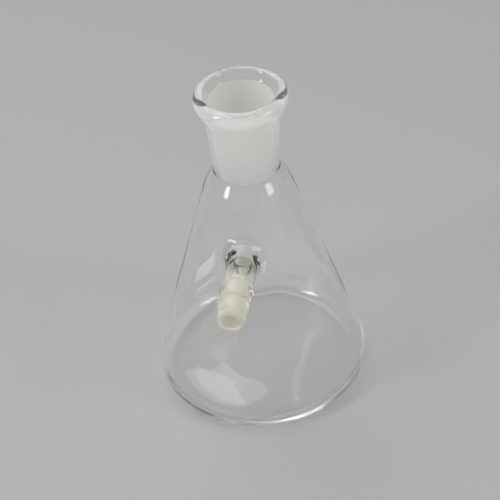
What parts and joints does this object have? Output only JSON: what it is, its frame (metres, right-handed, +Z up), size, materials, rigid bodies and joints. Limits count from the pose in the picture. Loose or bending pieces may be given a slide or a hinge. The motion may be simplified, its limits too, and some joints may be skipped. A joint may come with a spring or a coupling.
{
  "type": "filter flask",
  "caption": "Conical glass filter flask with a ground socket, a rolled lip and a ribbed hose connection on its side.",
  "frame": {"origin": "centre of the foot ring, on the surface that the flask stands on", "axes": "+Z up along the flask's axis; the hose connection points along -Y"},
  "size_m": [0.085, 0.0975, 0.134],
  "materials": {
    "glass": "clear and fire polished, with a fine-ground socket and a white enamel marking field"
  },
  "bodies": {
    "root": {"flask": "glass"}
  },
  "joints": []
}
